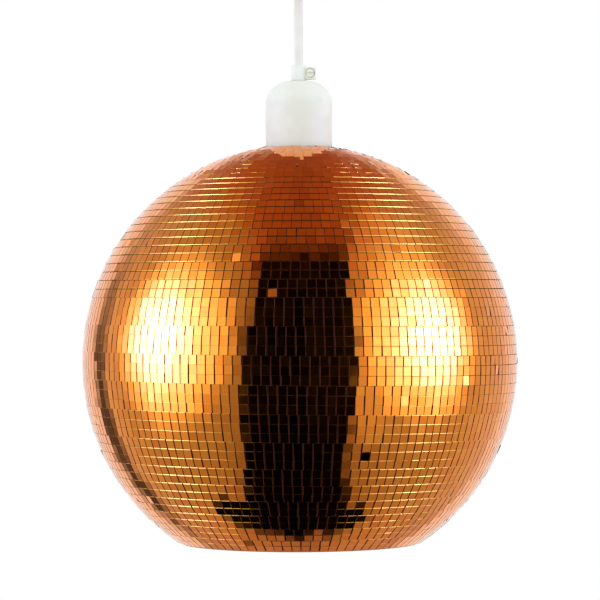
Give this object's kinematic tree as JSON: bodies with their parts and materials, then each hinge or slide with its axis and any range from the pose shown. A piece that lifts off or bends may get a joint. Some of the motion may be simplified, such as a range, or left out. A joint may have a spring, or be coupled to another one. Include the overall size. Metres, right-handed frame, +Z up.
{
  "type": "mirror-ball pendant lamp",
  "caption": "Pendant lamp with a copper mirror-tiled ball shade, open below, on a white screw-cap lampholder, cord and ceiling rose.",
  "frame": {"origin": "centre of the ceiling rose's flat ceiling face", "axes": "+Z up towards the ceiling, -Y the front, where the cord grip's screw faces"},
  "size_m": [0.2998, 0.2994, 0.4168],
  "materials": {
    "white_plastic": "satin white",
    "cord_sheath": "soft white sheath",
    "nylon": "natural nylon",
    "heatproof_insert": "heat-proof moulding",
    "brass": "plain",
    "plated_shell": "nickel plated",
    "brown_core": "insulated",
    "blue_core": "insulated",
    "shade_plastic": "moulded, dark copper",
    "copper_mirror": "copper mirror glass"
  },
  "bodies": {
    "ceiling_rose": {"rose_base": "white_plastic", "rose_cover": "white_plastic", "rose_terminal_block": "white_plastic", "rose_live_screw": "brass", "rose_neutral_screw": "brass", "rose_live_core": "brown_core", "rose_neutral_core": "blue_core"},
    "cord_bush": {"cord_bush": "white_plastic"},
    "cord": {"flex_cord": "cord_sheath", "cord_collar": "nylon"},
    "lampholder": {"cord_grip": "white_plastic", "cord_grip_screw": "nylon", "holder_cap": "white_plastic", "holder_insert": "heatproof_insert", "live_terminal": "brass", "neutral_terminal": "brass", "live_terminal_screw": "brass", "neutral_terminal_screw": "brass", "live_core": "brown_core", "neutral_core": "blue_core", "screw_shell": "plated_shell", "holder_skirt": "white_plastic"},
    "contact": {"centre_contact": "brass"},
    "shade": {"shade_shell": "shade_plastic", "mirror_strip_01": "copper_mirror", "mirror_strip_02": "copper_mirror", "mirror_strip_03": "copper_mirror", "mirror_strip_04": "copper_mirror", "mirror_strip_05": "copper_mirror", "mirror_strip_06": "copper_mirror", "mirror_strip_07": "copper_mirror", "mirror_strip_08": "copper_mirror", "mirror_strip_09": "copper_mirror", "mirror_strip_10": "copper_mirror", "mirror_strip_11": "copper_mirror", "mirror_strip_12": "copper_mirror", "mirror_strip_13": "copper_mirror", "mirror_strip_14": "copper_mirror", "mirror_strip_15": "copper_mirror", "mirror_strip_16": "copper_mirror", "mirror_strip_17": "copper_mirror", "mirror_strip_18": "copper_mirror", "mirror_strip_19": "copper_mirror", "mirror_strip_20": "copper_mirror", "mirror_strip_21": "copper_mirror", "mirror_strip_22": "copper_mirror", "mirror_strip_23": "copper_mirror", "mirror_strip_24": "copper_mirror", "mirror_strip_25": "copper_mirror"},
    "shade_ring": {"shade_ring": "white_plastic"}
  },
  "joints": [
    {"name": "swing_front_back", "type": "hinge", "parent": "ceiling_rose", "child": "cord_bush", "pos_m": [0, 0, -0.027], "axis": [1, 0, 0], "range_deg": [-10, 10]},
    {"name": "swing_side", "type": "hinge", "parent": "cord_bush", "child": "cord", "pos_m": [0, 0, -0.027], "axis": [0, 1, 0], "range_deg": [-10, 10]},
    {"name": "cord_twist", "type": "hinge", "parent": "cord", "child": "lampholder", "pos_m": [0, 0, -0.087], "axis": [0, 0, 1], "range_deg": [-180, 180], "stiffness_Nm_per_rad": 0.002},
    {"name": "contact_flex", "type": "hinge", "parent": "lampholder", "child": "contact", "pos_m": [0.006, 0, -0.15125], "axis": [0, 1, 0], "range_deg": [0, 12], "stiffness_Nm_per_rad": 0.2},
    {"name": "shade_lower", "type": "slide", "parent": "lampholder", "child": "shade", "axis": [0, 0, -1], "range_m": [0, 0.022]},
    {"name": "ring_turn", "type": "hinge", "parent": "shade", "child": "shade_ring", "pos_m": [0, 0, -0.158], "axis": [0, 0, -1], "range_deg": [0, 3170]}
  ],
  "couplings": [
    {"joint": "ring_turn", "follows": "shade_lower", "rad_per_m": 2513.3}
  ]
}
